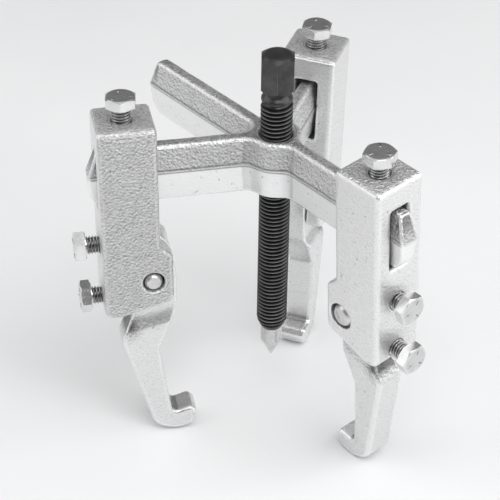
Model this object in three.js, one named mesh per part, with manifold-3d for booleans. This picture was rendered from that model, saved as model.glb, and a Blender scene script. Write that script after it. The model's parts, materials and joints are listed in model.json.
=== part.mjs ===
// Three-leg gear puller: a forged four-arm spider, a forcing screw with a hex end and a hard centre point,
// and three legs. Each leg is a jaw holder that slides on an arm, a hook jaw on a pivot pin, a clamp bolt on
// top and two adjusting bolts behind the jaw. The fourth arm is free, for use as a two-leg puller.
//
// Millimetres, +Z up. The screw axis is the Z axis and the floor under the jaws is Z = 0.
// In a leg, X points out along its arm from the holder's outer face, Y points sideways and Z = 0 is the
// middle height of the arm. In a jaw, the origin is on the pivot pin's axis.

import * as THREE from 'three';
import { mergeVertices } from 'three/addons/utils/BufferGeometryUtils.js';
import Module from 'manifold-3d';

const wasm = await Module();
wasm.setup();

const INCH = 25.4;
const DEGREE = Math.PI / 180;

// Driving dimensions
const SCREW_RADIUS = (5 / 8) * INCH / 2;
const BOLT_RADIUS = (3 / 8) * INCH / 2;
const BOLT_HEX_ACROSS_FLATS = (9 / 16) * INCH;
const BOLT_HEAD_THICKNESS = 6;
const BOLT_SHANK_LENGTH = (3 / 4) * INCH;
const SCREW_HEX_ACROSS_FLATS = (5 / 8) * INCH;
const RUNNING_GAP = 0.35;

const ARM_HEIGHT = 32;
const ARM_PARTING_ABOVE_MIDDLE = 1.7;
const ARM_HALF_WIDTH = 5.1;
const FORGING_DRAFT = 1.9;
const ARM_REACH = 94;
const HUB_RADIUS = 14.4;
const HUB_FILLET_RADIUS = 6;
const HUB_NARROW_FILLET_RADIUS = 5.6;
const ARM_ANGLES = [0, 120, 180, 240];

const HOLDER_DEPTH = 29.3;
const HOLDER_WIDTH = 29;
const HOLDER_TOP = 30.5;
const SLOT_HALF_WIDTH = 5.85;
const WINDOW_TOP = 17.4;
const WINDOW_BOTTOM = -17.7;
const OUTER_WALL = 7;
const CLEVIS_TOP = -30.8;
const PIN_X = -25.3;
const PIN_Z = -56.2;
const PIN_RADIUS = BOLT_RADIUS;
const CLAMP_BOLT_X = -14;
const UPPER_BOLT_Z = -39.1;
const LOWER_BOLT_Z = -69.3;

const JAW_THICKNESS = 16;
const TANG_THICKNESS = 10.9;
const TANG_OUTER_X = 11.1;
const BOLT_TIP_GAP = 0.95;

// The three legs as they stand: arm angle, reach of the holder's outer face, sideways lean on the arm and
// outward swing of the jaw, in millimetres and degrees.
const LEGS = {
  left: { arm: 240, reach: 89.7, lean: 4.0, swing: -2.8 },
  right: { arm: 0, reach: 87.2, lean: 3.4, swing: 4.4 },
  rear: { arm: 120, reach: 76.0, lean: 1.0, swing: 6.0 },
};

// Solids

function solid(geometry) {
  const bare = geometry.clone();
  bare.deleteAttribute('normal');
  bare.deleteAttribute('uv');
  const welded = mergeVertices(bare, 1e-4);
  const vertProperties = new Float32Array(welded.attributes.position.array);
  const triVerts = new Uint32Array(welded.index.array);
  return new wasm.Manifold(new wasm.Mesh({ numProp: 3, vertProperties, triVerts }));
}

function geometryOf(manifold) {
  const mesh = manifold.getMesh();
  const geometry = new THREE.BufferGeometry();
  geometry.setAttribute('position', new THREE.BufferAttribute(mesh.vertProperties, 3));
  geometry.setIndex(new THREE.BufferAttribute(mesh.triVerts, 1));
  geometry.computeVertexNormals();
  return geometry;
}

function box(xRange, yRange, zRange) {
  const sizes = [xRange, yRange, zRange].map(([low, high]) => high - low);
  const middles = [xRange, yRange, zRange].map(([low, high]) => (high + low) / 2);
  return solid(new THREE.BoxGeometry(...sizes).translate(...middles));
}

// A solid of revolution about Z. The profile is a list of [radius, z] from the lower end to the upper end.
function turned(profile, segments = 32) {
  const points = profile.map(([radius, z]) => new THREE.Vector2(radius, z));
  return new THREE.LatheGeometry(points, segments).rotateX(Math.PI / 2);
}

// A hexagonal prism on the Z axis with one corner pointing along +X.
function hexPrism(acrossFlats, zLow, zHigh) {
  const cornerRadius = acrossFlats / Math.sqrt(3);
  const prism = new THREE.CylinderGeometry(cornerRadius, cornerRadius, zHigh - zLow, 6);
  return prism.rotateX(Math.PI / 2).rotateZ(Math.PI / 6).translate(0, 0, (zLow + zHigh) / 2);
}

// An outline drawn in X and Z, made solid along Y about Y = 0, with its outer edges rounded by the radius.
function plateAlongY(shape, thickness, edgeRadius, curveSegments = 2) {
  const plate = new THREE.ExtrudeGeometry(shape, {
    depth: thickness - 2 * edgeRadius,
    bevelEnabled: edgeRadius > 0,
    bevelThickness: edgeRadius,
    bevelSize: edgeRadius,
    bevelOffset: -edgeRadius,
    bevelSegments: 2,
    curveSegments,
  });
  return plate.rotateX(Math.PI / 2).translate(0, thickness / 2 - edgeRadius, 0);
}

// A closed outline with each corner rounded. A corner is [x, z, radius].
function roundedOutline(corners) {
  const shape = new THREE.Shape();
  corners.forEach(([x, z, radius], index) => {
    const before = corners[(index + corners.length - 1) % corners.length];
    const after = corners[(index + 1) % corners.length];
    const here = new THREE.Vector2(x, z);
    const back = new THREE.Vector2(before[0], before[1]).sub(here).normalize();
    const ahead = new THREE.Vector2(after[0], after[1]).sub(here).normalize();
    const halfAngle = Math.acos(back.dot(ahead)) / 2;
    const run = radius / Math.tan(halfAngle);
    const start = here.clone().addScaledVector(back, run);
    const end = here.clone().addScaledVector(ahead, run);
    const bisector = back.clone().add(ahead).normalize();
    const centre = here.clone().addScaledVector(bisector, radius / Math.sin(halfAngle));
    const startAngle = Math.atan2(start.y - centre.y, start.x - centre.x);
    const endAngle = Math.atan2(end.y - centre.y, end.x - centre.x);
    const turnsLeft = back.x * ahead.y - back.y * ahead.x < 0;
    if (index === 0) shape.moveTo(start.x, start.y);
    shape.absarc(centre.x, centre.y, radius, startAngle, endAngle, !turnsLeft);
  });
  shape.closePath();
  return shape;
}

// Spider

// Plan outline of the spider at its parting line: straight arms, with a round boss in the wide gaps and a
// single fillet in the narrow ones.
function spiderOutline() {
  const shape = new THREE.Shape();
  const overrun = ARM_REACH + 5;
  const at = (x, y, angle) => new THREE.Vector2(x, y).rotateAround(new THREE.Vector2(), angle * DEGREE);
  const arc = (centre, radius, from, to, clockwise) => {
    shape.absarc(centre.x, centre.y, radius, from * DEGREE, to * DEGREE, clockwise);
  };
  ARM_ANGLES.forEach((arm, index) => {
    const next = index + 1 < ARM_ANGLES.length ? ARM_ANGLES[index + 1] : ARM_ANGLES[0] + 360;
    const halfGap = (next - arm) / 2;
    const right = at(overrun, -ARM_HALF_WIDTH, arm);
    const left = at(overrun, ARM_HALF_WIDTH, arm);
    if (index === 0) shape.moveTo(right.x, right.y);
    else shape.lineTo(right.x, right.y);
    shape.lineTo(left.x, left.y);
    if (halfGap > 45) {
      const offset = ARM_HALF_WIDTH + HUB_FILLET_RADIUS;
      const along = Math.sqrt((HUB_RADIUS + HUB_FILLET_RADIUS) ** 2 - offset ** 2);
      const spread = Math.atan2(offset, along) / DEGREE;
      arc(at(along, offset, arm), HUB_FILLET_RADIUS, arm - 90, arm - 180 + spread, true);
      arc(new THREE.Vector2(), HUB_RADIUS, arm + spread, next - spread, false);
      arc(at(along, -offset, next), HUB_FILLET_RADIUS, next + 180 - spread, next + 90, true);
    } else {
      const offset = ARM_HALF_WIDTH + HUB_NARROW_FILLET_RADIUS;
      const centre = at(offset / Math.tan(halfGap * DEGREE), offset, arm);
      arc(centre, HUB_NARROW_FILLET_RADIUS, arm - 90, next - 270, true);
    }
  });
  shape.closePath();
  return shape;
}

// One drafted half of the forging. It tapers from the parting outline to the inset top or bottom face.
function draftedHalf(height, pointsUp) {
  const partingLand = 0.6;
  const blank = solid(new THREE.ExtrudeGeometry(spiderOutline(), {
    depth: partingLand,
    bevelEnabled: true,
    bevelThickness: height - partingLand / 2,
    bevelSize: FORGING_DRAFT,
    bevelOffset: -FORGING_DRAFT,
    bevelSegments: 1,
    curveSegments: 3,
  }).translate(0, 0, ARM_PARTING_ABOVE_MIDDLE - partingLand / 2));
  const wide = [-2 * ARM_REACH, 2 * ARM_REACH];
  const zRange = pointsUp
    ? [ARM_PARTING_ABOVE_MIDDLE, ARM_HEIGHT]
    : [-ARM_HEIGHT, ARM_PARTING_ABOVE_MIDDLE];
  return blank.intersect(box(wide, wide, zRange));
}

// The arm ends share one profile round the screw axis: drafted above the parting line, rounded below it.
function armEndEnvelope() {
  const half = ARM_HEIGHT / 2;
  const cornerRadius = 11;
  const profile = [[0, -half], [ARM_REACH - 1 - cornerRadius, -half]];
  for (let step = 1; step <= 4; step += 1) {
    const angle = (step / 4) * 80 * DEGREE;
    profile.push([
      ARM_REACH - 1 - cornerRadius + cornerRadius * Math.sin(angle),
      -half + cornerRadius * (1 - Math.cos(angle)),
    ]);
  }
  profile.push([ARM_REACH, ARM_PARTING_ABOVE_MIDDLE], [ARM_REACH - 4.2, half - 1], [ARM_REACH - 5.4, half], [0, half]);
  return solid(turned(profile, 72));
}

function spiderGeometry() {
  const half = ARM_HEIGHT / 2;
  const boreRadius = SCREW_RADIUS + RUNNING_GAP;
  const mouthRadius = 9.4;
  const mouthDepth = mouthRadius - boreRadius;
  const bore = turned([
    [0, -half - 1],
    [mouthRadius + 1, -half - 1],
    [boreRadius, -half + mouthDepth],
    [boreRadius, half - mouthDepth],
    [mouthRadius + 1, half + 1],
    [0, half + 1],
  ], 48);
  const forging = draftedHalf(half - ARM_PARTING_ABOVE_MIDDLE, true)
    .add(draftedHalf(half + ARM_PARTING_ABOVE_MIDDLE, false))
    .intersect(armEndEnvelope());
  return geometryOf(forging.subtract(solid(bore)));
}

// Forcing screw, from its point to its hex end. Heights are from the middle of the arms.

const SCREW_TOP = 60.2;
const SCREW_HEX_BOTTOM = 42.4;
const THREAD_TOP = 34.8;
const THREAD_BOTTOM = -99.9;
const SCREW_END = -104.9;
const POINT_TIP = -125.3;
const POINT_RADIUS = 5.6;
const POINT_STEM_RADIUS = 3;
const POINT_STEM_TOP = -92;

function forcingScrewGeometry() {
  const socketRadius = POINT_STEM_RADIUS + RUNNING_GAP;
  const shank = solid(turned([
    [0, SCREW_END],
    [POINT_RADIUS + 0.1, SCREW_END],
    [SCREW_RADIUS, THREAD_BOTTOM],
    [SCREW_RADIUS, THREAD_TOP],
    [SCREW_RADIUS - 1, THREAD_TOP + 2],
    [SCREW_RADIUS - 1.6, THREAD_TOP + 4],
    [SCREW_RADIUS - 0.9, SCREW_HEX_BOTTOM - 0.9],
    [SCREW_RADIUS, SCREW_HEX_BOTTOM + 1],
    [0, SCREW_HEX_BOTTOM + 1],
  ], 40));
  const crown = solid(turned([
    [0, SCREW_HEX_BOTTOM - 2],
    [SCREW_RADIUS - 0.9, SCREW_HEX_BOTTOM - 0.9],
    [SCREW_RADIUS + 2.4, SCREW_HEX_BOTTOM + 2.6],
    [SCREW_RADIUS + 2.4, SCREW_TOP - 2.3],
    [SCREW_RADIUS - 1.4, SCREW_TOP],
    [0, SCREW_TOP],
  ], 40));
  const hex = solid(hexPrism(SCREW_HEX_ACROSS_FLATS, SCREW_HEX_BOTTOM - 1, SCREW_TOP + 1)).intersect(crown);
  const socket = solid(turned([
    [0, SCREW_END - 1],
    [socketRadius, SCREW_END - 1],
    [socketRadius, POINT_STEM_TOP + 0.5],
    [0, POINT_STEM_TOP + 2],
  ], 24));
  return geometryOf(shank.add(hex).subtract(socket));
}

function centerPointGeometry() {
  const coneTop = POINT_TIP + 10.9;
  const seat = SCREW_END - RUNNING_GAP;
  return turned([
    [0, POINT_TIP],
    [POINT_RADIUS - 0.3, coneTop],
    [POINT_RADIUS, coneTop + 0.5],
    [POINT_RADIUS, seat],
    [POINT_STEM_RADIUS, seat],
    [POINT_STEM_RADIUS, POINT_STEM_TOP],
    [0, POINT_STEM_TOP],
  ], 32);
}

// Hex cap bolt along Z: the shank points down from the head's underside at Z = 0.
function boltGeometry() {
  const tipRadius = 2.4;
  const tipLength = BOLT_RADIUS - tipRadius;
  const washerFaceRadius = BOLT_HEX_ACROSS_FLATS / 2 - 0.2;
  const shank = solid(turned([
    [0, -BOLT_SHANK_LENGTH],
    [tipRadius, -BOLT_SHANK_LENGTH],
    [BOLT_RADIUS, -BOLT_SHANK_LENGTH + tipLength],
    [BOLT_RADIUS, 1],
    [0, 1],
  ], 16));
  const crown = solid(turned([
    [0, 0],
    [washerFaceRadius, 0],
    [washerFaceRadius, 0.3],
    [washerFaceRadius + 2, 0.9],
    [washerFaceRadius + 2, BOLT_HEAD_THICKNESS - 1],
    [washerFaceRadius - 0.4, BOLT_HEAD_THICKNESS],
    [0, BOLT_HEAD_THICKNESS],
  ], 24));
  const head = solid(hexPrism(BOLT_HEX_ACROSS_FLATS, -1, BOLT_HEAD_THICKNESS + 1)).intersect(crown);
  return geometryOf(shank.add(head));
}

// Jaw holder

function holderOutline() {
  const inner = -HOLDER_DEPTH;
  const lug = -35.4;
  return roundedOutline([
    [0, HOLDER_TOP, 3],
    [inner, HOLDER_TOP, 3],
    [inner, -35.4, 2],
    [lug, -41.2, 3],
    [lug, -68.2, 4.5],
    [-9, -75.6, 12],
    [0, -76.2, 4.5],
  ].reverse());
}

// A drill along Z from zLow to zHigh, moved to a place or laid on its side by the caller.
function drill(radius, zLow, zHigh) {
  return turned([[0, zLow], [radius, zLow], [radius, zHigh], [0, zHigh]], 20);
}

function jawHolderGeometry() {
  const halfWidth = HOLDER_WIDTH / 2;
  const boltHole = BOLT_RADIUS + RUNNING_GAP;
  const through = [-SLOT_HALF_WIDTH, SLOT_HALF_WIDTH];
  const body = solid(plateAlongY(holderOutline(), HOLDER_WIDTH, 2.6));
  const window = box([-50, 10], through, [WINDOW_BOTTOM, WINDOW_TOP]);
  const clevis = box([-50, -OUTER_WALL], through, [-100, CLEVIS_TOP]);
  const clampHole = turned([
    [0, 0],
    [boltHole, 0],
    [boltHole, HOLDER_TOP - 1.1],
    [boltHole + 2.1, HOLDER_TOP + 1],
    [0, HOLDER_TOP + 1],
  ], 20).translate(CLAMP_BOLT_X, 0, 0);
  const adjustingHoles = [UPPER_BOLT_Z, LOWER_BOLT_Z].map((z) => (
    drill(boltHole, -OUTER_WALL - 2, 5).rotateY(Math.PI / 2).translate(0, 0, z)
  ));
  // Along the drill's own axis the countersink is on +Z, which becomes +Y, and the counterbore is on -Z.
  const pinHole = turned([
    [0, -halfWidth - 1],
    [7.3, -halfWidth - 1],
    [7.3, -halfWidth + 3.6],
    [PIN_RADIUS + RUNNING_GAP, -halfWidth + 3.6],
    [PIN_RADIUS + RUNNING_GAP, halfWidth - 2],
    [8, halfWidth + 1],
    [0, halfWidth + 1],
  ], 24).rotateX(-Math.PI / 2).translate(PIN_X, 0, PIN_Z);
  const cuts = [clampHole, ...adjustingHoles, pinHole].map(solid);
  return geometryOf(cuts.reduce((rest, cut) => rest.subtract(cut), body.subtract(window).subtract(clevis)));
}

// Headed pivot pin along Y: the head is on -Y and the plain end on +Y.
function pivotPinGeometry() {
  const halfWidth = HOLDER_WIDTH / 2;
  return turned([
    [0, -halfWidth + 0.1],
    [5.2, -halfWidth + 0.1],
    [6.5, -halfWidth + 1.2],
    [6.5, -halfWidth + 3.2],
    [PIN_RADIUS, -halfWidth + 3.2],
    [PIN_RADIUS, halfWidth - 0.9],
    [PIN_RADIUS - 0.8, halfWidth - 0.1],
    [0, halfWidth - 0.1],
  ], 20).rotateX(-Math.PI / 2);
}

// Hook jaw

function jawOutline() {
  return roundedOutline([
    [TANG_OUTER_X, 22, 5],
    [-9.4, 22, 9],
    [-12.6, -2, 30],
    [-11.4, -21, 20],
    [-1.0, -46.5, 6],
    [-2.4, -70, 12],
    [-4.6, -88.4, 2.6],
    [-14.4, -86.2, 2.2],
    [-17.4, -89.8, 2.4],
    [-14.8, -97.4, 5],
    [-4, -100.2, 16],
    [5.9, -94.0, 9],
    [15.2, -54, 30],
    [18.9, -38.5, 9],
    [11.1, -23.5, 12],
  ]);
}

// The shoulder steps in from the jaw's full thickness to the tang on both sides, by a ramp that rises
// towards the inner edge.
function shoulderCutter(side) {
  const half = TANG_THICKNESS / 2;
  const ramp = new THREE.Shape();
  ramp.moveTo(half, 60);
  ramp.lineTo(half, 0);
  ramp.lineTo(half + 0.9, -2.4);
  ramp.lineTo(half + 3.4, -6.4);
  ramp.lineTo(half + 12, -6.4);
  ramp.lineTo(half + 12, 60);
  ramp.closePath();
  const cutter = new THREE.ExtrudeGeometry(ramp, { depth: 80, bevelEnabled: false })
    .translate(0, 0, -40)
    .rotateX(Math.PI / 2)
    .rotateZ(side > 0 ? Math.PI / 2 : -Math.PI / 2);
  return solid(cutter.rotateY(9.5 * DEGREE).translate(0, 0, -25.7));
}

function jawGeometry() {
  const pinBore = drill(PIN_RADIUS + RUNNING_GAP, -20, 20).rotateX(Math.PI / 2);
  return geometryOf(solid(plateAlongY(jawOutline(), JAW_THICKNESS, 1.5))
    .subtract(shoulderCutter(1))
    .subtract(shoulderCutter(-1))
    .subtract(solid(pinBore)));
}

// Materials and assembly

function metal(name, colour, roughness, metalness) {
  const material = new THREE.MeshStandardMaterial({ color: colour, roughness, metalness });
  material.name = name;
  return material;
}

const plating = () => metal('nickel_plated_forging', 0xc9cacb, 0.34, 0.9);
const zinc = () => metal('bright_zinc_bolt', 0xd4d6d8, 0.25, 1);
const blackOxide = () => metal('black_oxide_steel', 0x2a2a2b, 0.45, 0.8);
const groundSteel = () => metal('ground_steel', 0xd0d2d4, 0.22, 1);

function piece(name, geometry, material) {
  const mesh = new THREE.Mesh(geometry, material);
  mesh.name = name;
  return mesh;
}

// A bolt whose shank points along -X, with its tip at the given place.
function adjustingBolt(name, tipX, z) {
  const bolt = piece(name, boltGeometry(), zinc());
  bolt.rotation.y = Math.PI / 2;
  bolt.position.set(tipX + BOLT_SHANK_LENGTH, 0, z);
  return bolt;
}

// Where a swung jaw's straight outer edge lies at a height in the leg.
function tangEdgeX(swing, z) {
  return PIN_X + TANG_OUTER_X / Math.cos(swing) - (z - PIN_Z) * Math.tan(swing);
}

function lowestPoint(group) {
  group.updateMatrixWorld(true);
  return new THREE.Box3().setFromObject(group, true).min.z;
}

function leg(name, { arm, reach, lean, swing }) {
  const swingAngle = swing * DEGREE;
  const jaw = piece(`${name}_jaw`, jawGeometry(), plating());
  jaw.position.set(PIN_X, 0, PIN_Z);
  jaw.rotation.y = -swingAngle;
  const pin = piece(`${name}_pivot_pin`, pivotPinGeometry(), groundSteel());
  pin.position.set(PIN_X, 0, PIN_Z);
  const clampBolt = piece(`${name}_clamp_bolt`, boltGeometry(), zinc());
  const onArm = new THREE.Group();
  onArm.name = `${name}_leg`;
  onArm.rotation.x = lean * DEGREE;
  onArm.add(
    piece(`${name}_jaw_holder`, jawHolderGeometry(), plating()),
    jaw,
    pin,
    clampBolt,
    adjustingBolt(`${name}_upper_adjusting_bolt`, tangEdgeX(swingAngle, UPPER_BOLT_Z) + BOLT_TIP_GAP, UPPER_BOLT_Z),
    adjustingBolt(`${name}_lower_adjusting_bolt`, tangEdgeX(swingAngle, LOWER_BOLT_Z) + BOLT_TIP_GAP, LOWER_BOLT_Z),
  );
  // The holder has a little play on the arm, so each leg settles until its jaw stands on the floor.
  const settle = -MIDDLE_HEIGHT - lowestPoint(onArm);
  onArm.position.set(reach, 0, settle);
  const tipClearance = 2.2;
  clampBolt.position.set(CLAMP_BOLT_X, 0, ARM_HEIGHT / 2 + tipClearance - settle + BOLT_SHANK_LENGTH);
  const armDirection = new THREE.Group();
  armDirection.rotation.z = arm * DEGREE;
  armDirection.add(onArm);
  return armDirection;
}

// Height of the arms' middle above the floor.
const MIDDLE_HEIGHT = 154.9;

// The screw stands with one corner of its hex end towards this plan angle, in degrees.
const HEX_CORNER_ANGLE = -42;

const forcingScrew = piece('forcing_screw', forcingScrewGeometry(), blackOxide());
forcingScrew.rotation.z = HEX_CORNER_ANGLE * DEGREE;

const puller = new THREE.Group();
puller.name = 'gear_puller';
puller.add(
  piece('spider', spiderGeometry(), plating()),
  forcingScrew,
  piece('center_point', centerPointGeometry(), groundSteel()),
);
Object.entries(LEGS).forEach(([name, stance]) => puller.add(leg(name, stance)));
puller.position.z = MIDDLE_HEIGHT;

export default puller;
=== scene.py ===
"""Gear puller: fine surfaces, materials, floor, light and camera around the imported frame."""

import json
import math

import bmesh
import bpy
import numpy as np
from mathutils import Matrix, Vector


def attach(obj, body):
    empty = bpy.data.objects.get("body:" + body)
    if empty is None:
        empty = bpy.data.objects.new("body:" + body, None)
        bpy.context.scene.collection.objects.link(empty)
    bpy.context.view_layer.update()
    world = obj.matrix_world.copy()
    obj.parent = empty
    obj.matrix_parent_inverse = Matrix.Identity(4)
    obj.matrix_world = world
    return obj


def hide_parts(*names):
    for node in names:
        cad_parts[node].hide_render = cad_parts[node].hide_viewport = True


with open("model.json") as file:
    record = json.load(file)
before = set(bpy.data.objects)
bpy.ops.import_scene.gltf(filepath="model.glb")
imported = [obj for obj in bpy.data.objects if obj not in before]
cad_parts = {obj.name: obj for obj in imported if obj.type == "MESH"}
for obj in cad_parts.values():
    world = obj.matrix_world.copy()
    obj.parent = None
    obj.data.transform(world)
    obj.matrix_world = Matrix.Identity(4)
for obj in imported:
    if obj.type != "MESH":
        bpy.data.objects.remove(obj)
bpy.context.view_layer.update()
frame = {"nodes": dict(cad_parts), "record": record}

JOINTS = {joint["name"]: joint for joint in frame["record"]["behaviour"]["joints"]}
LEGS = ("left", "right", "rear")
ARM_ANGLES = (0, 120, 180, 240)

MM = 0.001
INCH = 25.4

# Where the pivot pin is in a leg: X runs out along the arm from the holder's outer face, Z up from mid arm.
PIN_X = -25.3
PIN_Z = -56.2
SWING_OUT_LIMIT = 12


# Frames of the legs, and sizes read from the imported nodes


def leg_matrix(leg):
    """From a leg's own frame, in metres, to the row frame."""
    outward = Vector(JOINTS[f"{leg}_upper_adjustment"]["axis"]).normalized()
    upward = Vector(JOINTS[f"{leg}_clamp_screw"]["axis"]).normalized()
    rotation = Matrix((outward, upward.cross(outward), upward)).transposed()
    pin = Vector(JOINTS[f"{leg}_jaw_swing"]["pos_m"])
    origin = pin - rotation @ Vector((PIN_X, 0, PIN_Z)) * MM
    return Matrix.Translation(origin) @ rotation.to_4x4()


def jaw_matrix(leg):
    """From a jaw's own frame, with its origin on the pivot pin, to the row frame."""
    swing = SWING_OUT_LIMIT - JOINTS[f"{leg}_jaw_swing"]["range_deg"][1]
    turn = Matrix.Rotation(-math.radians(swing), 4, "Y")
    return leg_matrix(leg) @ Matrix.Translation(Vector((PIN_X, 0, PIN_Z)) * MM) @ turn


def node_box(node, matrix):
    """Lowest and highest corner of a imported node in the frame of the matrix, in millimetres."""
    inverse = matrix.inverted()
    points = [inverse @ vertex.co for vertex in frame["nodes"][node].data.vertices]
    return np.min(points, axis=0) / MM, np.max(points, axis=0) / MM


SPIDER_LOW, SPIDER_HIGH = node_box("spider", Matrix())
MID_HEIGHT = (SPIDER_LOW[2] + SPIDER_HIGH[2]) / 2
MID_ARM = Matrix.Translation((0, 0, MID_HEIGHT * MM))
HOLDER_LOW, HOLDER_HIGH = node_box("left_jaw_holder", leg_matrix("left"))
JAW_LOW, JAW_HIGH = node_box("left_jaw", jaw_matrix("left"))
PIN_LOW, PIN_HIGH = node_box("left_pivot_pin", leg_matrix("left"))
SCREW_LOW, SCREW_HIGH = node_box("forcing_screw", MID_ARM)
POINT_LOW, POINT_HIGH = node_box("center_point", MID_ARM)

BOLT_RADIUS = (3 / 8) * INCH / 2
BOLT_PITCH = INCH / 16
BOLT_HEX = (9 / 16) * INCH
BOLT_HEAD = 6.0
BOLT_SHANK = (3 / 4) * INCH
SCREW_RADIUS = (5 / 8) * INCH / 2
SCREW_PITCH = INCH / 11
SCREW_HEX = (5 / 8) * INCH

ARM_HALF_HEIGHT = (SPIDER_HIGH[2] - SPIDER_LOW[2]) / 2
ARM_REACH = SPIDER_HIGH[0]
ARM_HALF_WIDTH = 5.1
ARM_PARTING = 1.7
ARM_DRAFT = 1.9
HOLDER_HALF_WIDTH = HOLDER_HIGH[1]
HOLDER_TOP = HOLDER_HIGH[2]
HOLDER_DEPTH = 29.3
SLOT_HALF_WIDTH = 5.85
JAW_HALF_THICKNESS = JAW_HIGH[1]
TANG_HALF_THICKNESS = 5.45
CLAMP_BOLT_X = -14
ADJUSTING_BOLT_HEIGHTS = (-39.1, -69.3)


# Distance fields, in millimetres: negative inside, and arrays broadcast


def rounded_outline(corners, steps=8):
    """Points round a closed outline. A corner is (u, v, radius), and its arc is drawn in steps."""
    points = []
    for index, (u, v, radius) in enumerate(corners):
        here = np.array([u, v], float)
        back = np.array(corners[index - 1][:2]) - here
        ahead = np.array(corners[(index + 1) % len(corners)][:2]) - here
        back /= np.linalg.norm(back)
        ahead /= np.linalg.norm(ahead)
        half_angle = math.acos(float(np.clip(back @ ahead, -1, 1))) / 2
        bisector = (back + ahead) / np.linalg.norm(back + ahead)
        centre = here + bisector * radius / math.sin(half_angle)
        start = here + back * radius / math.tan(half_angle) - centre
        end = here + ahead * radius / math.tan(half_angle) - centre
        turn = math.atan2(start[0] * end[1] - start[1] * end[0], start @ end)
        for step in range(steps + 1):
            angle = turn * step / steps
            cosine, sine = math.cos(angle), math.sin(angle)
            turned = (start[0] * cosine - start[1] * sine, start[0] * sine + start[1] * cosine)
            points.append(centre + turned)
    return np.array(points)


def outline_distance(points, u, v):
    """Signed distance to a closed outline."""
    nearest = np.inf
    inside = False
    for (au, av), (bu, bv) in zip(points, np.roll(points, -1, axis=0)):
        eu, ev = bu - au, bv - av
        length = eu * eu + ev * ev
        if length < 1e-9:
            continue
        along = np.clip(((u - au) * eu + (v - av) * ev) / length, 0, 1)
        nearest = np.minimum(nearest, (u - au - eu * along) ** 2 + (v - av - ev * along) ** 2)
        if ev:
            crosses = ((v >= av) != (v >= bv)) & (u < au + (v - av) * eu / ev)
            inside = inside ^ crosses
    return np.where(inside, -1, 1) * np.sqrt(nearest)


def box_distance(u, v, middle, half, radius):
    """Signed distance to a rectangle with rounded corners."""
    du = np.abs(u - middle[0]) - half[0] + radius
    dv = np.abs(v - middle[1]) - half[1] + radius
    outside = np.hypot(np.maximum(du, 0), np.maximum(dv, 0))
    return outside + np.minimum(np.maximum(du, dv), 0) - radius


def both(a, b, radius):
    """Intersection, with the edge rounded over about the radius."""
    blend = np.maximum(radius - np.abs(a - b), 0) / radius
    return np.maximum(a, b) + blend * blend * radius / 4


def either(a, b, radius):
    """Union, with the inner corner filled to about the radius."""
    return -both(-a, -b, radius)


def without(a, b, radius):
    """The first solid less the second, with the mouth's edge rounded."""
    return both(a, -b, radius)


def unevenness(x, y, z, seed, height=0.07):
    """Shallow waves, as a die leaves them, from a few sine waves in seeded directions."""
    source = np.random.default_rng(seed)
    total = 0
    for _ in range(5):
        direction = source.normal(size=3)
        direction *= 2 * math.pi / (source.uniform(6, 16) * np.linalg.norm(direction))
        total = total + np.sin(x * direction[0] + y * direction[1] + z * direction[2] + source.uniform(0, 6))
    return total * height / 5


# Surfaces of fields


def corner_values(values, cells, corner):
    """The sampled value at one corner of each cell."""
    i, j, k = (cells + corner).T
    return values[i, j, k]


def surface_net(values):
    """Points, in cells, and quads of the surface where the sampled values change sign."""
    inside = values < 0
    size = np.array(values.shape) - 1
    some = np.zeros(size, bool)
    every = np.ones(size, bool)
    for i in (0, 1):
        for j in (0, 1):
            for k in (0, 1):
                part = inside[i:i + size[0], j:j + size[1], k:k + size[2]]
                some |= part
                every &= part
    active = some & ~every
    cells = np.argwhere(active)
    total = np.zeros((len(cells), 3))
    count = np.zeros(len(cells))
    units = np.eye(3, dtype=int)
    for axis in range(3):
        side, other = units[(axis + 1) % 3], units[(axis + 2) % 3]
        for start in (0 * side, side, other, side + other):
            low = corner_values(values, cells, start)
            high = corner_values(values, cells, start + units[axis])
            crossing = (low < 0) != (high < 0)
            share = low[crossing] / (low[crossing] - high[crossing])
            total[crossing] += start + share[:, None] * units[axis]
            count[crossing] += 1
    points = cells + total / count[:, None]
    number = np.full(active.shape, -1)
    number[active] = np.arange(len(cells))
    quads = []
    for axis in range(3):
        side, other = units[(axis + 1) % 3], units[(axis + 2) % 3]
        first = np.take(inside, range(inside.shape[axis] - 1), axis=axis)
        second = np.take(inside, range(1, inside.shape[axis]), axis=axis)
        base = np.argwhere(first != second)
        leaving = first[tuple(base.T)]
        ring = [number[tuple((base - step).T)] for step in (0 * side, side, side + other, other)]
        quad = np.stack(ring, axis=1)
        quad[~leaving] = quad[~leaving][:, ::-1]
        quads.append(quad)
    return points, np.concatenate(quads)


def slope_and_curvature(field, points, step=0.4):
    """The field's value, gradient and Laplacian at the points."""
    here = field(*points.T)
    gradient = np.zeros_like(points)
    total = -6 * here
    for axis in range(3):
        offset = np.zeros(3)
        offset[axis] = step
        ahead = field(*(points + offset).T)
        behind = field(*(points - offset).T)
        gradient[:, axis] = (ahead - behind) / (2 * step)
        total = total + ahead + behind
    return here, gradient, total / step**2


def settle(field, points, steps=2):
    """Moves the points onto the field's surface."""
    for _ in range(steps):
        here, gradient, _ = slope_and_curvature(field, points, 0.1)
        points = points - gradient * (here / np.maximum((gradient**2).sum(1), 0.2))[:, None]
    return points


def new_mesh(name, points, faces, sharp_angle=None):
    """A closed, smooth-shaded mesh from points in millimetres."""
    mesh = bpy.data.meshes.new(name)
    mesh.from_pydata((np.asarray(points) * MM).tolist(), [], np.asarray(faces).tolist())
    working = bmesh.new()
    working.from_mesh(mesh)
    bmesh.ops.remove_doubles(working, verts=working.verts, dist=0.004 * MM)
    bmesh.ops.dissolve_degenerate(working, edges=working.edges, dist=0.004 * MM)
    bmesh.ops.recalc_face_normals(working, faces=working.faces)
    working.to_mesh(mesh)
    working.free()
    mesh.shade_smooth()
    if sharp_angle:
        mesh.set_sharp_from_angle(angle=math.radians(sharp_angle))
    return mesh


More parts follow.
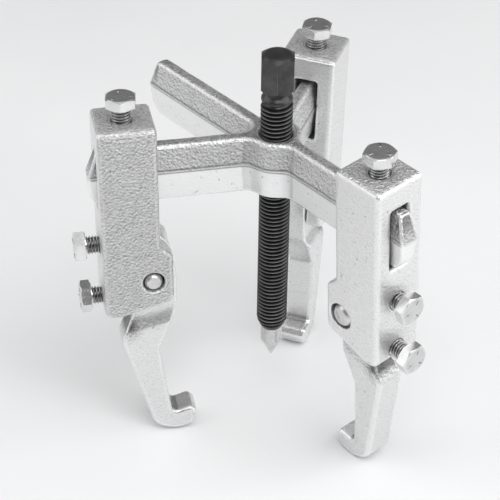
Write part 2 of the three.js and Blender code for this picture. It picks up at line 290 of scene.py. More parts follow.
def thinned(mesh, share):
    """The mesh with flat stretches simplified to that share of its faces."""
    holder = bpy.data.objects.new(mesh.name + "_fine", mesh)
    bpy.context.scene.collection.objects.link(holder)
    modifier = holder.modifiers.new("thin", "DECIMATE")
    modifier.ratio = share
    graph = bpy.context.evaluated_depsgraph_get()
    result = bpy.data.meshes.new_from_object(holder.evaluated_get(graph))
    bpy.data.objects.remove(holder)
    bpy.data.meshes.remove(mesh)
    return result


def store_attribute(mesh, name, values):
    """Keeps a number for each vertex, for the materials to read."""
    attribute = mesh.attributes.new(name, "FLOAT", "POINT")
    attribute.data.foreach_set("value", np.asarray(values, np.float32))


def stored(mesh, name):
    """The numbers kept for the vertices under that name."""
    values = np.zeros(len(mesh.vertices), np.float32)
    mesh.attributes[name].data.foreach_get("value", values)
    return values


def field_mesh(name, field, low, high, cell, share, coarse):
    """A mesh of the field's surface. Its curvature is kept as the attribute edge. The attribute coarse is how
    coarse the skin is at a point, from 0 to 1, and from 1 to 2 how much its colour is darkened, mostly as
    painted shade."""
    axes = [np.arange(a - 2 * cell, b + 3 * cell, cell) for a, b in zip(low, high)]
    x, y, z = np.meshgrid(*axes, indexing="ij", sparse=True)
    values = np.broadcast_to(field(x, y, z), [len(axis) for axis in axes])
    points, faces = surface_net(values)
    points = points * cell + [axis[0] for axis in axes]
    mesh = new_mesh(name, settle(field, points), faces)
    if share < 1:
        mesh = thinned(mesh, share)
    mesh.name = name
    mesh.shade_smooth()
    places = np.array([vertex.co for vertex in mesh.vertices]) / MM
    _, _, bend = slope_and_curvature(field, places)
    store_attribute(mesh, "edge", np.clip(bend, -1, 1))
    store_attribute(mesh, "coarse", np.broadcast_to(coarse(*places.T), len(places)))
    return mesh


# Surfaces of revolution, hexagons and threads


def grid_faces(rows, columns):
    """Quads between rows of points that go round, counting on from row to row."""
    row, column = np.meshgrid(np.arange(rows - 1), np.arange(columns), indexing="ij")
    after = (column + 1) % columns
    here, above = row * columns, (row + 1) * columns
    corners = (here + column, here + after, above + after, above + column)
    return np.stack(corners, axis=-1).reshape(-1, 4)


def angles_of(columns):
    """The angle of each column round the axis."""
    return np.arange(columns) * 2 * math.pi / columns


def turned_surface(rows, columns):
    """Points and quads of a surface round Z. Rows are (radius, height), numbers or a value per column."""
    angle = angles_of(columns)
    points = []
    for radius, height in rows:
        radius = np.broadcast_to(radius, columns)
        height = np.broadcast_to(height, columns)
        points.append(np.stack([radius * np.cos(angle), radius * np.sin(angle), height], axis=1))
    return np.concatenate(points), grid_faces(len(rows), columns)


def hexagon_radius(across_flats, columns, crispness=260):
    """Radius of a hexagon in each column, with a corner in the first one and slightly rounded corners."""
    faces = np.radians(np.arange(6) * 60 + 30)
    facing = np.cos(angles_of(columns)[:, None] - faces)
    return across_flats / 2 / (np.maximum(facing, 0) ** crispness).sum(axis=1) ** (1 / crispness)


# A thread's profile as (share of the pitch, share of the depth): crest to root, then the same mirrored.
THREAD_FLANK = ((0.0, 1.0), (0.07, 0.96), (0.22, 0.5), (0.36, 0.05), (0.5, 0.0))
THREAD_PROFILE = (*THREAD_FLANK, *((1 - share, rise) for share, rise in THREAD_FLANK[-2:0:-1]))
THREAD_DEPTH = 0.6


def thread_surface(radius, pitch, low, high, low_cone, high_cone, columns):
    """A right-hand thread along Z. Each cone is the radius at that end and its growth per millimetre."""
    per_turn = len(THREAD_PROFILE)
    turns = math.ceil((high - low) / pitch) + 2
    angle = angles_of(columns)
    root = radius - THREAD_DEPTH * pitch
    rows = []
    for index in range(turns * per_turn + 1):
        share, rise = THREAD_PROFILE[index % per_turn]
        start = low - pitch + (index // per_turn + share) * pitch
        height = np.clip(start + pitch * angle / (2 * math.pi), low, high)
        limit = np.minimum(
            low_cone[0] + (height - low) * low_cone[1],
            high_cone[0] + (high - height) * high_cone[1],
        )
        rows.append((np.minimum(root + (radius - root) * rise, limit), height))
    points, _ = turned_surface(rows, columns)
    faces = []
    for row in range(len(rows) - 1):
        here = row * columns + np.arange(columns - 1)
        faces.append(np.stack([here, here + 1, here + 1 + columns, here + columns], axis=1))
    seam = np.arange(len(rows) - 1 - per_turn) * columns
    last = seam + columns - 1
    shift = per_turn * columns
    faces.append(np.stack([last, seam + shift, seam + shift + columns, last + columns], axis=1))
    return points, np.concatenate(faces)


def joined(name, surfaces, sharp_angle):
    """One mesh from several surfaces that share their end rings."""
    points = np.concatenate([surface[0] for surface in surfaces])
    starts = np.cumsum([0] + [len(surface[0]) for surface in surfaces[:-1]])
    faces = np.concatenate([surface[1] + start for surface, start in zip(surfaces, starts)])
    return new_mesh(name, points, faces, sharp_angle)


def store_wear(mesh, bright_radius, width, thread=None, head=True):
    """Keeps how near each vertex is to the radius that is rubbed bright as the attribute edge; on black oxide
    it is also a painted highlight. The attribute hollow is how deep it is in a thread, given as (radius,
    pitch, low, high). A head can stay unrubbed."""
    places = np.array([vertex.co for vertex in mesh.vertices]) / MM
    radius = np.hypot(places[:, 0], places[:, 1])
    edge = np.clip(1 - (bright_radius - radius) / width, 0, 1)
    depth = np.zeros(len(places))
    if thread:
        crest, pitch, low, high = thread
        on_thread = (places[:, 2] > low) & (places[:, 2] < high)
        depth = np.clip((crest - radius) / (THREAD_DEPTH * pitch), 0, 1) * on_thread
        edge = np.where(on_thread | head, edge, 0)
    store_attribute(mesh, "edge", edge)
    store_attribute(mesh, "hollow", depth)


# Spider


def spider_plan(x, y):
    """Signed distance in plan, at the parting line: four straight arms filleted into a round hub."""
    hub_radius = 14.4
    fillet = 4.5
    arms = np.inf
    for arm in ARM_ANGLES:
        cosine, sine = math.cos(math.radians(arm)), math.sin(math.radians(arm))
        strip = np.maximum(np.abs(y * cosine - x * sine) - ARM_HALF_WIDTH, -x * cosine - y * sine)
        arms = np.minimum(arms, strip)
    return either(arms, np.hypot(x, y) - hub_radius, fillet)


def spider_field():
    half = ARM_HALF_HEIGHT
    profile = rounded_outline([
        (-10, -half, 0.01),
        (ARM_REACH - 1, -half, 10),
        (ARM_REACH, ARM_PARTING, 4),
        (ARM_REACH - 4.4, half - 1.2, 1.5),
        (ARM_REACH - 5.8, half, 1),
        (-10, half, 0.01),
    ])
    bore = SCREW_RADIUS + 0.3
    mouth = 9.6
    flash_height = 0.35
    flash_width = 0.55
    edge_rounding = 1.9

    def field(x, y, z):
        above = np.maximum(z - ARM_PARTING, 0) / (half - ARM_PARTING)
        below = np.maximum(ARM_PARTING - z, 0) / (half + ARM_PARTING)
        side = spider_plan(x, y) + ARM_DRAFT * (above + below)
        flash = flash_height * np.exp(-(((z - ARM_PARTING) / flash_width) ** 2))
        body = both(side - flash, np.abs(z) - half, edge_rounding)
        radius = np.hypot(x, y)
        body = both(body, outline_distance(profile, radius, z), 1.2)
        funnel = radius - bore - np.maximum(np.abs(z) - half + mouth - bore, 0)
        return without(body, funnel, 0.7) + unevenness(x, y, z, 3, 0.09)

    return field


def spider_skin_and_shade(x, y, z):
    """The upper die left a coarser skin than the lower. The tops are painted darker, as shade, and the upper
    part of the arms' ends is painted darker.
    """
    skin = np.clip(0.55 + (z - ARM_PARTING) / 2, 0.12, 1)
    # Painted shade on the tops.
    top = 0.45 * (z > ARM_HALF_HEIGHT - 0.5)
    # The upper part of the arms' ends is painted darker.
    end = 0.8 * (np.hypot(x, y) > ARM_REACH - 6) * np.clip((z - 2) / 9, 0, 1)
    return skin + np.maximum(top, end)


# Jaw holder


def holder_field():
    top = HOLDER_TOP
    lug = HOLDER_LOW[0]
    outline = rounded_outline([
        (0, top, 2.4),
        (-HOLDER_DEPTH, top, 2.4),
        (-HOLDER_DEPTH, -35.4, 3),
        (lug, -41.2, 3),
        (lug, -68.2, 5),
        (-9, -75.6, 12),
        (0, HOLDER_LOW[2], 5),
    ])
    outer_wall = 7
    clevis_top = -30.8
    hole = BOLT_RADIUS + 0.22
    pin_hole = 5.5
    pin_head_hole = 7.05
    pin_head_depth = 3.9
    edge_rounding = 2.5

    def field(x, y, z):
        body = both(outline_distance(outline, x, z), np.abs(y) - HOLDER_HALF_WIDTH, edge_rounding)
        body = body + unevenness(x, y, z, 11)
        window = box_distance(y, z, (0, -0.15), (SLOT_HALF_WIDTH, 17.55), 1.6)
        clevis = box_distance(x, z, (-outer_wall - 50, clevis_top - 50), (50, 50), 3)
        clevis = both(clevis, np.abs(y) - SLOT_HALF_WIDTH, 1.5)
        body = without(without(body, window, 1.8), clevis, 1.4)
        clamp = np.hypot(x - CLAMP_BOLT_X, y) - hole - np.maximum(z - top + 0.9, 0)
        body = without(body, np.maximum(clamp, -z), 0.5)
        for height in ADJUSTING_BOLT_HEIGHTS:
            threaded = np.hypot(y, z - height) - hole - np.maximum(x + 0.7, 0)
            body = without(body, np.maximum(threaded, -x - 12), 0.5)
        across = np.hypot(x - PIN_X, z - PIN_Z)
        near = across - pin_hole - np.maximum(y - HOLDER_HALF_WIDTH + 1.0, 0) * 0.6
        through = np.where(y > HOLDER_HALF_WIDTH - 5, near, across - BOLT_RADIUS - 0.5)
        head_side = np.where(y < pin_head_depth - HOLDER_HALF_WIDTH, across - pin_head_hole, through)
        return without(body, head_side, 0.5)

    return field


def holder_skin_and_shade(x, y, z):
    """One side of a holder came out of a rougher die. Its top has a coarser skin and is painted darker, as
    shade, and painted shade fills its slot and pin holes.
    """
    rough_side = np.clip((y - HOLDER_HALF_WIDTH + 1.2) / 0.8, 0, 1)
    # Painted shade on the top.
    top = 0.4 * (z > HOLDER_TOP - 0.5)
    between_ends = (x < -1.2) & (x > 1.2 - HOLDER_DEPTH)
    # Painted shade in the slot and the pin holes.
    inside = (np.abs(y) < SLOT_HALF_WIDTH + 0.3) & between_ends & (z < HOLDER_TOP - 3)
    in_pin_hole = (np.hypot(x - PIN_X, z - PIN_Z) < 7.15) & (np.abs(y) < HOLDER_HALF_WIDTH - 0.5)
    return 0.3 + 0.7 * rough_side + top + 1.3 * (inside | in_pin_hole)


# Hook jaw


def jaw_field():
    outline = rounded_outline([
        (11.1, 22, 5),
        (-9.4, 22, 9),
        (-12.6, -2, 30),
        (-11.4, -21, 20),
        (-1.0, -46.5, 6),
        (-2.4, -70, 12),
        (-4.6, -88.4, 2.6),
        (-14.4, -86.2, 2.2),
        (-17.4, -89.8, 2.4),
        (-14.8, -97.4, 5),
        (-4, -100.2, 16),
        (5.9, -94.0, 9),
        (15.2, -54, 30),
        (18.9, -38.5, 9),
        (11.1, -23.5, 12),
    ])
    lean = math.radians(9.5)
    shoulder_height = -25.7
    ramp_start = 2.4
    ramp_slope = 0.8
    edge_rounding = 2.4

    def field(x, y, z):
        body = both(outline_distance(outline, x, z), np.abs(y) - JAW_HALF_THICKNESS, edge_rounding)
        body = body + unevenness(x, y, z, 23, 0.06)
        rise = (z - shoulder_height) * math.cos(lean) + x * math.sin(lean)
        tang = np.abs(y) - TANG_HALF_THICKNESS
        ramp = (tang - 0.9 + (rise + ramp_start) * ramp_slope) / math.hypot(1, ramp_slope)
        body = both(body, either(tang, ramp, 2.4), 0.9)
        return without(body, np.hypot(x, z) - BOLT_RADIUS - 0.3, 0.5)

    return field


def jaw_coarseness(x, y, z):
    """The jaw is smooth but for its scaly shoulder under the holder. Its outside just under the holder is
    painted darker.
    """
    shoulder = 0.45 * np.exp(-(((z + 27 + 0.17 * x) / 4) ** 2))
    # A darker patch on the outside just under the holder.
    darkened = 1.9 * np.exp(-(((x - 15) / 5) ** 2) - ((z + 29) / 6) ** 2)
    return 0.25 + shoulder + darkened


# Screws, bolts and pins


def forcing_screw_mesh():
    """Thread, neck and hexagon of the forcing screw, open at the bottom for the centre point's stem."""
    columns = 96
    top = SCREW_HIGH[2]
    bottom = SCREW_LOW[2]
    thread_top = 34.0
    shoulder = 40.3
    root = SCREW_RADIUS - THREAD_DEPTH * SCREW_PITCH
    neck = 5.8
    collar = root + 0.9
    crown = 6.6
    end = 5.75
    socket = 3.3
    thread = thread_surface(
        SCREW_RADIUS, SCREW_PITCH, bottom, thread_top, (end, 0.42), (root, 0.8), columns
    )
    hexagon = hexagon_radius(SCREW_HEX, columns)
    rows = [
        (root, thread_top),
        (SCREW_RADIUS - 0.15, thread_top + 0.9),
        (SCREW_RADIUS - 0.1, thread_top + 1.6),
        (SCREW_RADIUS - 0.4, thread_top + 2.4),
        (SCREW_RADIUS - 0.95, thread_top + 3.1),
        (neck + 0.35, shoulder - 2.4),
        (neck, shoulder - 1.6),
        (neck + 0.05, shoulder - 1.0),
        (neck + 0.5, shoulder - 0.45),
        (collar, shoulder),
    ]
    for share in (0.3, 0.65, 1.0):
        radius = collar + (hexagon - collar) * share
        rows.append((radius, shoulder + (radius - collar) * 0.95))
    rows.append((hexagon, (shoulder + top) / 2))
    for share in (1.0, 0.6, 0.25, 0.0):
        radius = crown + (hexagon - crown) * share
        rows.append((radius, top - 0.35 - (radius - crown) * 0.62))
    rows += [(crown - 0.5, top - 0.12), (crown - 1.4, top), (0, top)]
    head = turned_surface(rows, columns)
    sleeve = turned_surface([
        (end, bottom),
        (end - 0.35, bottom),
        (socket, bottom),
        (socket, bottom + 13),
        (0, bottom + 15),
    ][::-1], columns)
    mesh = joined("forcing_screw_thread", [thread, head, sleeve], 38)
    cut = (SCREW_RADIUS, SCREW_PITCH, bottom + 2, thread_top - 0.5)
    store_wear(mesh, SCREW_RADIUS, 0.35, cut, head=False)
    corner = SCREW_HEX / math.sqrt(3)
    past_corner = [math.hypot(vertex.co.x, vertex.co.y) / MM - corner for vertex in mesh.vertices]
    # The hexagon's corners count as rubbed; the black oxide lightens them as wear and painted highlight.
    rubbed = np.clip(1 + np.array(past_corner) / 0.2, 0, 1)
    mesh.attributes["edge"].data.foreach_set("value", np.maximum(stored(mesh, "edge"), rubbed))
    return mesh


def center_point_mesh():
    """The ground cone and shank under the screw, with its stem inside the screw."""
    tip = POINT_LOW[2]
    radius = POINT_HIGH[0]
    cone_top = tip + 10.9
    seat = SCREW_LOW[2] - 0.1
    stem = 3
    rows = [
        (0, tip),
        (0.35, tip + 0.12),
        (0.6, tip + 0.6),
        (radius * 0.5, tip + 5.4),
        (radius - 0.25, cone_top - 0.4),
        (radius, cone_top + 0.2),
        (radius, cone_top + 0.6),
        (radius, seat - 0.3),
        (radius - 0.25, seat),
        (stem, seat),
        (stem, POINT_HIGH[2] - 0.4),
        (0, POINT_HIGH[2]),
    ]
    mesh = joined("center_point_cone", [turned_surface(rows, 64)], 30)
    store_wear(mesh, radius, 0.3)
    return mesh


def bolt_mesh():
    """Hex cap bolt along Z, its head's underside at Z = 0, with three radial grade lines on the head."""
    columns = 96
    root = BOLT_RADIUS - THREAD_DEPTH * BOLT_PITCH
    tip = 2.5
    shank = thread_surface(
        BOLT_RADIUS, BOLT_PITCH, -BOLT_SHANK, 0, (tip, 1.1), (root, 1.2), columns
    )
    end = turned_surface([(0, -BOLT_SHANK), (tip * 0.5, -BOLT_SHANK), (tip, -BOLT_SHANK)], columns)
    hexagon = hexagon_radius(BOLT_HEX, columns)
    washer = BOLT_HEX / 2 - 0.3
    crown = BOLT_HEX / 2 - 0.45
    rows = [(root, 0), (washer - 0.1, 0), (washer, 0.1), (washer, 0.35)]
    for share in (0.0, 0.5, 1.0):
        radius = washer + (hexagon - washer) * share
        rows.append((radius, 0.4 + (radius - washer) * 0.25))
    rows.append((hexagon, BOLT_HEAD / 2))
    for share in (1.0, 0.66, 0.33, 0.0):
        radius = crown + (hexagon - crown) * share
        rows.append((radius, BOLT_HEAD - 0.3 - (radius - crown) * 0.55))
    rows += [(crown - 0.25, BOLT_HEAD - 0.24), (crown - 0.6, BOLT_HEAD - 0.2)]
    face = BOLT_HEAD - 0.2
    third = math.radians(120)
    first_line = math.radians(20)
    from_line = np.abs((angles_of(columns) - first_line + third / 2) % third - third / 2)
    for radius in (5.9, 5.7, 5.0, 4.2, 3.6, 3.4, 2.4, 1.2):
        raised = 0.3 * (3.5 < radius < 5.8) * np.clip(1.8 - from_line * radius / 0.26, 0, 1)
        rows.append((radius, face + raised))
    rows.append((0, face))
    mesh = joined("hex_bolt", [shank, end, turned_surface(rows, columns)], 34)
    store_wear(mesh, BOLT_HEX / 2, 1.2, (BOLT_RADIUS, BOLT_PITCH, -BOLT_SHANK + 1, -0.6))
    # Painted shade: the raised grade lines are marked in the attribute hollow, which darkens them.
    marks = [0.75 if vertex.co.z / MM > BOLT_HEAD - 0.16 else 0 for vertex in mesh.vertices]
    mesh.attributes["hollow"].data.foreach_set("value", np.maximum(stored(mesh, "hollow"), marks))
    return mesh


def pivot_pin_mesh():
    """Headed pin along Z: the head is at the low end."""
    low = PIN_LOW[1]
    high = PIN_HIGH[1]
    head = 6.5
    neck = low + 3.2
    rows = [
        (0, low + 0.1),
        (head - 2.0, low + 0.1),
        (head - 1.8, low + 0.2),
        (head - 0.25, low + 1.7),
        (head, low + 2.1),
        (head, low + 3.0),
        (head - 0.2, neck),
        (BOLT_RADIUS, neck),
        (BOLT_RADIUS, high - 1.9),
        (BOLT_RADIUS - 0.12, high - 1.6),
        (BOLT_RADIUS - 1.35, high - 0.12),
        (BOLT_RADIUS - 1.55, high),
        (2.0, high),
        (0, high - 0.05),
    ]
    mesh = joined("headed_pin", [turned_surface(rows, 48)], 30)
    store_wear(mesh, head, 0.4)
    return mesh


# Materials


class Shader:
    """A material's nodes, added one at a time and linked as they are made."""

    def __init__(self, name):
        self.material = bpy.data.materials.new(name)
        self.material.use_nodes = True
        self.tree = self.material.node_tree
        self.surface = self.tree.nodes["Principled BSDF"]
        self.place = self.tree.nodes.new("ShaderNodeTexCoord").outputs["Object"]

    def put(self, socket, value):
        if isinstance(value, bpy.types.NodeSocket):
            self.tree.links.new(value, socket)
        else:
            socket.default_value = value

    def noise(self, scale, detail=4.0, roughness=0.55, stretch=(1, 1, 1), shift=(0, 0, 0)):
        """Noise with that many features per metre, shifted by millimetres."""
        mapping = self.tree.nodes.new("ShaderNodeMapping")
        mapping.inputs["Location"].default_value = Vector(shift) * MM
        mapping.inputs["Scale"].default_value = stretch
        self.put(mapping.inputs["Vector"], self.place)
        node = self.tree.nodes.new("ShaderNodeTexNoise")
        self.put(node.inputs["Vector"], mapping.outputs["Vector"])
        node.inputs["Scale"].default_value = scale
        node.inputs["Detail"].default_value = detail
        node.inputs["Roughness"].default_value = roughness
        return node.outputs["Fac"]

    def spread(self, value, low, high, to_low, to_high):
        """The value mapped from one range to another and kept within it."""
        node = self.tree.nodes.new("ShaderNodeMapRange")
        self.put(node.inputs["Value"], value)
        for name, number in (("From Min", low), ("From Max", high), ("To Min", to_low), ("To Max", to_high)):
            node.inputs[name].default_value = number
        return node.outputs["Result"]

    def math(self, operation, a, b):
        node = self.tree.nodes.new("ShaderNodeMath")
        node.operation = operation
        self.put(node.inputs[0], a)
        self.put(node.inputs[1], b)
        return node.outputs["Value"]

    def mix(self, share, first, second):
        node = self.tree.nodes.new("ShaderNodeMix")
        node.data_type = "RGBA"
        self.put(node.inputs["Factor"], share)
        self.put(node.inputs["A"], first)
        self.put(node.inputs["B"], second)
        return node.outputs["Result"]

    def attribute(self, name):
        node = self.tree.nodes.new("ShaderNodeAttribute")
        node.attribute_name = name
        return node.outputs["Fac"]

    def bump(self, height, depth, below=None):
        """Relief of that depth in millimetres, on top of another relief."""
        node = self.tree.nodes.new("ShaderNodeBump")
        node.inputs["Strength"].default_value = 1.0
        node.inputs["Distance"].default_value = depth * MM
        self.put(node.inputs["Height"], height)
        if below is not None:
            self.put(node.inputs["Normal"], below)
        return node.outputs["Normal"]

    def finish(self, colour, roughness, normal, metallic=1.0):
        self.put(self.surface.inputs["Base Color"], colour)
        self.put(self.surface.inputs["Roughness"], roughness)
        self.put(self.surface.inputs["Normal"], normal)
        self.surface.inputs["Metallic"].default_value = metallic
        return self.material


def grey(level):
    """An opaque grey of that level."""
    return (level, level, level, 1)


def forged_plating(name, grain, light, dull):
    """Nickel plating over a forged skin. Bumps are part relief and part painted light: the difference between
    a noise and itself, shifted, paints shade on one side of each bump and a highlight on the other."""
    shader = Shader(name)
    edge = shader.spread(shader.attribute("edge"), 0.2, 0.65, 0, 1)
    hollow = shader.spread(shader.attribute("edge"), -0.3, -0.03, 1, 0)
    skin = shader.attribute("coarse")
    rough_skin = shader.spread(skin, 0, 1, 0, 1)
    clouds = shader.noise(55, 3)
    coarse = shader.noise(760, 3, 0.5)
    uphill = shader.math("SUBTRACT", coarse, shader.noise(760, 3, 0.5, shift=(0.12, 0.12, 0.34)))
    fine = shader.noise(2400, 3, 0.6)
    pits = shader.spread(shader.noise(430, 2), 0.68, 0.75, 0, 0.8)
    tone = shader.mix(shader.spread(clouds, 0.35, 0.65, 0, 1), grey(light * 0.93), grey(light))
    tone = shader.mix(shader.math("SUBTRACT", 1.0, rough_skin), tone, grey(min(light * 1.35, 0.93)))
    # Painted light: shade on one side of each bump, a highlight on the other.
    shaded = shader.math("MULTIPLY", shader.spread(uphill, -0.11, -0.02, 0.75, 0), rough_skin)
    lit = shader.math("MULTIPLY", shader.spread(uphill, 0.03, 0.12, 0, 0.6), rough_skin)
    tone = shader.mix(shaded, tone, grey(light * 0.4))
    tone = shader.mix(lit, tone, grey(0.93))
    patches = shader.spread(clouds, 0.3, 0.6, 1, 0.6)
    # Where coarse runs from 1 to 2 the colour is darkened, away from edges: painted shade on the tops and in
    # the holders' slots and pin holes, and darker arm ends and jaw patches.
    darkened = shader.math("MULTIPLY", shader.spread(skin, 1.0, 2.0, 0, 1), patches)
    off_edge = shader.math("SUBTRACT", 1.0, edge)
    tone = shader.mix(shader.math("MULTIPLY", darkened, off_edge), tone, grey(0.06))
    tone = shader.mix(shader.math("MULTIPLY", pits, 0.5), tone, grey(0.2))
    # Painted shade in creases, where the surface curves inwards.
    tone = shader.mix(shader.math("MULTIPLY", hollow, 0.6), tone, grey(0.16))
    # Painted highlight along convex edges.
    tone = shader.mix(shader.math("MULTIPLY", edge, 0.6), tone, grey(0.93))
    rough = shader.spread(clouds, 0.3, 0.7, dull, dull + 0.12)
    rough = shader.math("SUBTRACT", rough, shader.math("MULTIPLY", edge, 0.1))
    flat = shader.math("SUBTRACT", 1.0, shader.math("MULTIPLY", edge, 0.4))
    flat = shader.math("MULTIPLY", flat, rough_skin)
    relief = shader.bump(shader.math("MULTIPLY", coarse, flat), 0.75 * grain)
    relief = shader.bump(shader.math("MULTIPLY", fine, flat), 0.1 * grain, relief)
    relief = shader.bump(shader.math("SUBTRACT", 1.0, pits), 0.2 * grain, relief)
    return shader.finish(tone, rough, relief, 0.82)


def zinc_plate():
    """Bright zinc with faint cloudiness and fine handling marks, darker in the thread roots, with painted
    shade on the grade lines.
    """
    shader = Shader("bright_zinc")
    clouds = shader.noise(160, 4)
    marks = shader.noise(900, 3, 0.7, (1, 4, 1))
    edge = shader.attribute("edge")
    hollow = shader.spread(shader.attribute("hollow"), 0.25, 0.8, 0, 0.85)
    tone = shader.mix(shader.spread(clouds, 0.3, 0.7, 0, 1), grey(0.54), grey(0.72))
    tone = shader.mix(shader.math("MULTIPLY", edge, 0.4), tone, grey(0.92))
    # Darker in the thread roots, and painted shade on the head's raised grade lines.
    tone = shader.mix(hollow, tone, grey(0.12))
    rough = shader.spread(marks, 0.3, 0.7, 0.14, 0.3)
    return shader.finish(tone, rough, shader.bump(marks, 0.02))


def black_oxide():
    """Oiled black oxide, rubbed to grey steel on the thread crests, which are also lightened as a painted
    highlight.
    """
    shader = Shader("black_oxide")
    clouds = shader.noise(120, 4)
    grain = shader.noise(1500, 3)
    # The rubbed crests and corners are lightened both as wear and as a painted highlight.
    worn_and_highlit = shader.spread(shader.attribute("edge"), 0.75, 1.0, 0, 1)
    worn_and_highlit = shader.math("MULTIPLY", worn_and_highlit, shader.spread(clouds, 0.35, 0.6, 0.5, 0.95))
    tone = shader.mix(shader.spread(clouds, 0.3, 0.7, 0, 1), grey(0.055), grey(0.095))
    tone = shader.mix(worn_and_highlit, tone, grey(0.42))
    tone = shader.mix(shader.spread(shader.attribute("hollow"), 0.25, 0.7, 0, 0.95), tone, grey(0.01))
    rough = shader.spread(grain, 0.3, 0.7, 0.26, 0.36)
    return shader.finish(tone, rough, shader.bump(grain, 0.012), 0.8)


def ground_steel():
    """Bright steel with fine turning lines across the axis."""
    shader = Shader("ground_steel")
    lines = shader.noise(500, 3, 0.7, (0.2, 0.2, 9))
    clouds = shader.noise(200, 3)
    tone = shader.mix(shader.spread(clouds, 0.3, 0.7, 0, 1), grey(0.54), grey(0.72))
    rough = shader.spread(lines, 0.3, 0.7, 0.2, 0.36)
    return shader.finish(tone, rough, shader.bump(lines, 0.03))


def floor_paint():
    """Nearly white paint, a little blue."""
    shader = Shader("pale_floor")
    clouds = shader.noise(6, 3)
    dim = (0.89, 0.895, 0.905, 1)
    bright = (0.915, 0.918, 0.925, 1)
    tone = shader.mix(shader.spread(clouds, 0.3, 0.7, 0, 1), dim, bright)
    rough = shader.spread(clouds, 0.3, 0.7, 0.55, 0.65)
    return shader.finish(tone, rough, shader.bump(shader.noise(400, 2), 0.02), 0.0)


# Assembly

# How far each bolt of a leg is screwed round, in degrees: clamp, upper and lower.
BOLT_TURNS = {"left": (20, 0, 30), "right": (-5, 12, 25), "rear": (8, 40, 15)}

# How far a pin lies below the middle of its holes.
PIN_DROP = 0.42

# How far the forcing screw's hexagon is turned, in degrees.
SCREW_TURN = -42


def put_piece(name, mesh, matrix, body, node, material):
    """An object that shows the mesh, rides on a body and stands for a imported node."""
    piece = bpy.data.objects.new(name, mesh)
    bpy.context.scene.collection.objects.link(piece)
    piece.matrix_world = matrix
    if not mesh.materials:
        mesh.materials.append(material)
    bpy.context.view_layer.update()
    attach(piece, body)
    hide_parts(node)
    return piece


def build_leg(leg, meshes, looks):
    """One leg: holder, jaw, pin and three bolts."""
    frame_of_leg = leg_matrix(leg)
    put_piece(f"{leg}_holder_forging", meshes["holder"], frame_of_leg, f"{leg}_leg",
              f"{leg}_jaw_holder", looks["holder"])
    put_piece(f"{leg}_hook_jaw", meshes["jaw"], jaw_matrix(leg), f"{leg}_jaw",
              f"{leg}_jaw", looks["jaw"])
    along_y = Matrix.Rotation(-math.pi / 2, 4, "X")
    pin_place = Matrix.Translation(Vector((PIN_X, 0, PIN_Z - PIN_DROP)) * MM)
    put_piece(f"{leg}_headed_pin", meshes["pin"], frame_of_leg @ pin_place @ along_y, f"{leg}_leg",
              f"{leg}_pivot_pin", looks["steel"])
    along_x = Matrix.Rotation(math.pi / 2, 4, "Y")
    directions = {"clamp": Matrix(), "upper_adjusting": along_x, "lower_adjusting": along_x}
    for (kind, direction), degrees in zip(directions.items(), BOLT_TURNS[leg]):
        node = f"{leg}_{kind}_bolt"
        low, high = node_box(node, frame_of_leg)
        middle = (low + high) / 2
        if kind == "clamp":
            place = (middle[0], middle[1], high[2] - BOLT_HEAD)
        else:
            place = (high[0] - BOLT_HEAD, middle[1], middle[2])
        spin = Matrix.Rotation(math.radians(degrees), 4, "Z")
        matrix = frame_of_leg @ Matrix.Translation(Vector(place) * MM) @ direction @ spin
        put_piece(f"{leg}_{kind}_hex_bolt", meshes["bolt"], matrix, node, node, looks["zinc"])


def build_puller():
    """Spider, forcing screw and centre point, and the three legs, which share their meshes."""
    looks = {
        "spider": forged_plating("plated_spider", 1.6, 0.68, 0.32),
        "holder": forged_plating("plated_holder", 1.8, 0.66, 0.32),
        "jaw": forged_plating("plated_jaw", 0.8, 0.62, 0.24),
        "zinc": zinc_plate(),
        "black": black_oxide(),
        "steel": ground_steel(),
    }
    holder = field_mesh("jaw_holder", holder_field(), HOLDER_LOW, HOLDER_HIGH, 0.5, 0.5, holder_skin_and_shade)
    jaw = field_mesh("hook_jaw", jaw_field(), JAW_LOW, JAW_HIGH, 0.5, 0.6, jaw_coarseness)
    meshes = {"holder": holder, "jaw": jaw, "pin": pivot_pin_mesh(), "bolt": bolt_mesh()}
    low = (SPIDER_LOW[0], SPIDER_LOW[1], -ARM_HALF_HEIGHT)
    high = (SPIDER_HIGH[0], SPIDER_HIGH[1], ARM_HALF_HEIGHT)
    spider = field_mesh("spider_forging", spider_field(), low, high, 0.6, 0.5, spider_skin_and_shade)
    put_piece("forged_spider", spider, MID_ARM, "spider", "spider", looks["spider"])
    hex_turn = Matrix.Rotation(math.radians(SCREW_TURN), 4, "Z")
    put_piece("threaded_screw", forcing_screw_mesh(), MID_ARM @ hex_turn, "forcing_screw",
              "forcing_screw", looks["black"])
    put_piece("hardened_point", center_point_mesh(), MID_ARM, "center_point",
              "center_point", looks["steel"])
    for leg in LEGS:
        build_leg(leg, meshes, looks)


# Floor, light and camera

# The camera's place in metres, then its heading from +X towards +Y, its angle down and its roll, in degrees.
CAMERA_PLACE = (0.5575, -0.5097, 0.6622)
CAMERA_ANGLES = (138.47, 36.75, -0.90)
CAMERA_LENS = 132.3
CAMERA_SENSOR = 36


def add_floor():
    """A plain square of floor under the puller."""
    size = 3.0
    corners = [(-size, -size, 0), (size, -size, 0), (size, size, 0), (-size, size, 0)]
    mesh = bpy.data.meshes.new("floor")
    mesh.from_pydata(corners, [], [(0, 1, 2, 3)])
    mesh.materials.append(floor_paint())
    floor = bpy.data.objects.new("floor", mesh)
    bpy.context.scene.collection.objects.link(floor)


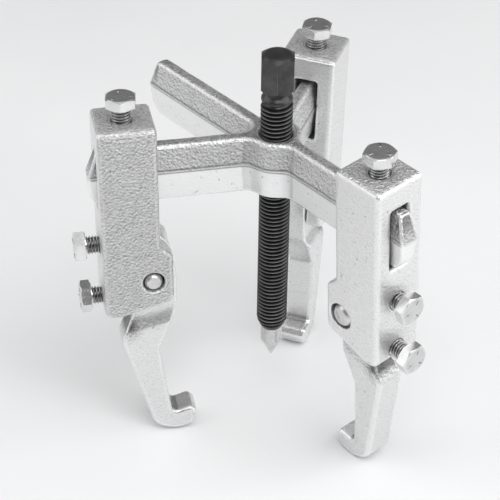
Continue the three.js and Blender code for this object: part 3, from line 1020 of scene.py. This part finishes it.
def add_world():
    """Soft studio surroundings: bright overhead, greyer towards the horizon."""
    world = bpy.data.worlds.new("studio")
    bpy.context.scene.world = world
    world.use_nodes = True
    nodes, links = world.node_tree.nodes, world.node_tree.links
    place = nodes.new("ShaderNodeTexCoord")
    parts = nodes.new("ShaderNodeSeparateXYZ")
    ramp = nodes.new("ShaderNodeValToRGB")
    links.new(place.outputs["Generated"], parts.inputs["Vector"])
    links.new(parts.outputs["Z"], ramp.inputs["Fac"])
    ramp.color_ramp.elements[0].position = 0.0
    ramp.color_ramp.elements[0].color = grey(0.42)
    ramp.color_ramp.elements[1].position = 1.0
    ramp.color_ramp.elements[1].color = grey(0.75)
    middle = ramp.color_ramp.elements.new(0.55)
    middle.color = grey(0.2)
    links.new(ramp.outputs["Color"], nodes["Background"].inputs["Color"])
    nodes["Background"].inputs["Strength"].default_value = 0.93


def add_softbox(name, azimuth, elevation, distance, size, power):
    """A square lamp that looks at the middle of the puller. Azimuth is from +X towards +Y."""
    lamp = bpy.data.lights.new(name, "AREA")
    lamp.energy = power
    lamp.size = size
    softbox = bpy.data.objects.new(name, lamp)
    bpy.context.scene.collection.objects.link(softbox)
    a, e = math.radians(azimuth), math.radians(elevation)
    direction = Vector((math.cos(a) * math.cos(e), math.sin(a) * math.cos(e), math.sin(e)))
    softbox.location = Vector((0, 0, 0.1)) + direction * distance
    softbox.rotation_mode = "QUATERNION"
    softbox.rotation_quaternion = direction.to_track_quat("Z", "Y")


def add_camera():
    """The camera, turned by its heading, its angle down and its roll."""
    heading, pitch, roll = (math.radians(angle) for angle in CAMERA_ANGLES)
    level = math.cos(pitch)
    forward = Vector((math.cos(heading) * level, math.sin(heading) * level, -math.sin(pitch)))
    level_right = Vector((math.sin(heading), -math.cos(heading), 0))
    level_down = forward.cross(level_right)
    right = level_right * math.cos(roll) + level_down * math.sin(roll)
    down = level_down * math.cos(roll) - level_right * math.sin(roll)
    camera = bpy.data.objects.new("camera", bpy.data.cameras.new("camera"))
    bpy.context.scene.collection.objects.link(camera)
    camera.data.sensor_width = CAMERA_SENSOR
    camera.data.lens = CAMERA_LENS
    rotation = Matrix((right, -down, -forward)).transposed()
    camera.matrix_world = Matrix.Translation(CAMERA_PLACE) @ rotation.to_4x4()
    bpy.context.scene.camera = camera


add_floor()
add_world()
add_softbox("key_softbox", 35, 32, 1.4, 1.5, 12.5)
add_softbox("left_softbox", -132, 30, 1.4, 1.5, 7.5)
add_softbox("top_softbox", -28, 62, 1.2, 0.8, 5.5)
add_camera()
build_puller()
bpy.context.scene.view_settings.view_transform = "Standard"
